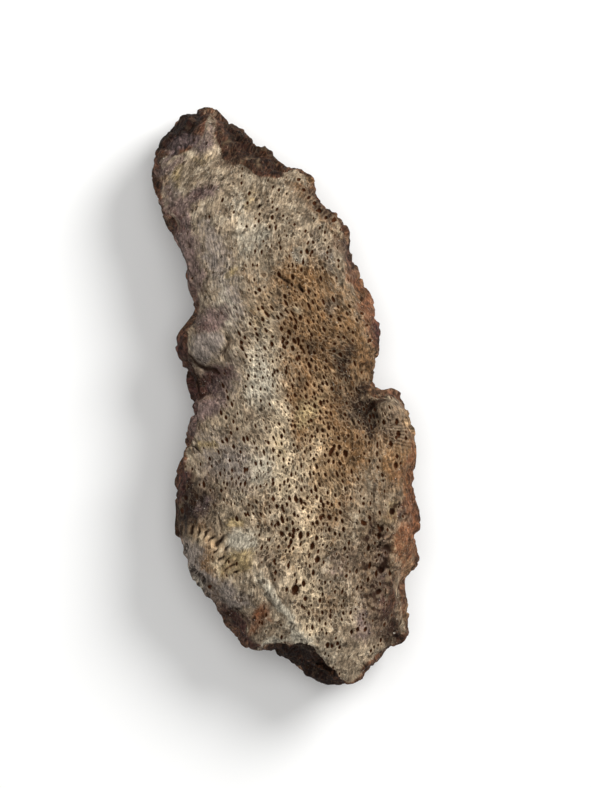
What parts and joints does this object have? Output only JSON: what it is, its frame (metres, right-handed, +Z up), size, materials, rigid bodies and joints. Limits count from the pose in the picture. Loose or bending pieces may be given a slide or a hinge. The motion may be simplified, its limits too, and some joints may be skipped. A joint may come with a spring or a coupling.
{
  "type": "rough unpolished fragment of finely porous fossil coral stone",
  "caption": "Rough slab of fossil coral with a finely pored upper face, a sloping broken rim and a worn back on which it lies as a loose specimen.",
  "frame": {"origin": "centre of the bounding box, on the surface that the stone lies on", "axes": "+Z up, out of the pored face; +Y along the stone's length towards its narrow upper end; +X to the right of the pored face seen from above"},
  "size_m": [0.032, 0.0686, 0.0162],
  "materials": {
    "coral_stone": "rough, matt weathered stone: grey-tan pored face, ochre and rust stains, dark red-brown broken sides"
  },
  "bodies": {
    "root": {"fossil_stone": "coral_stone"}
  },
  "joints": []
}
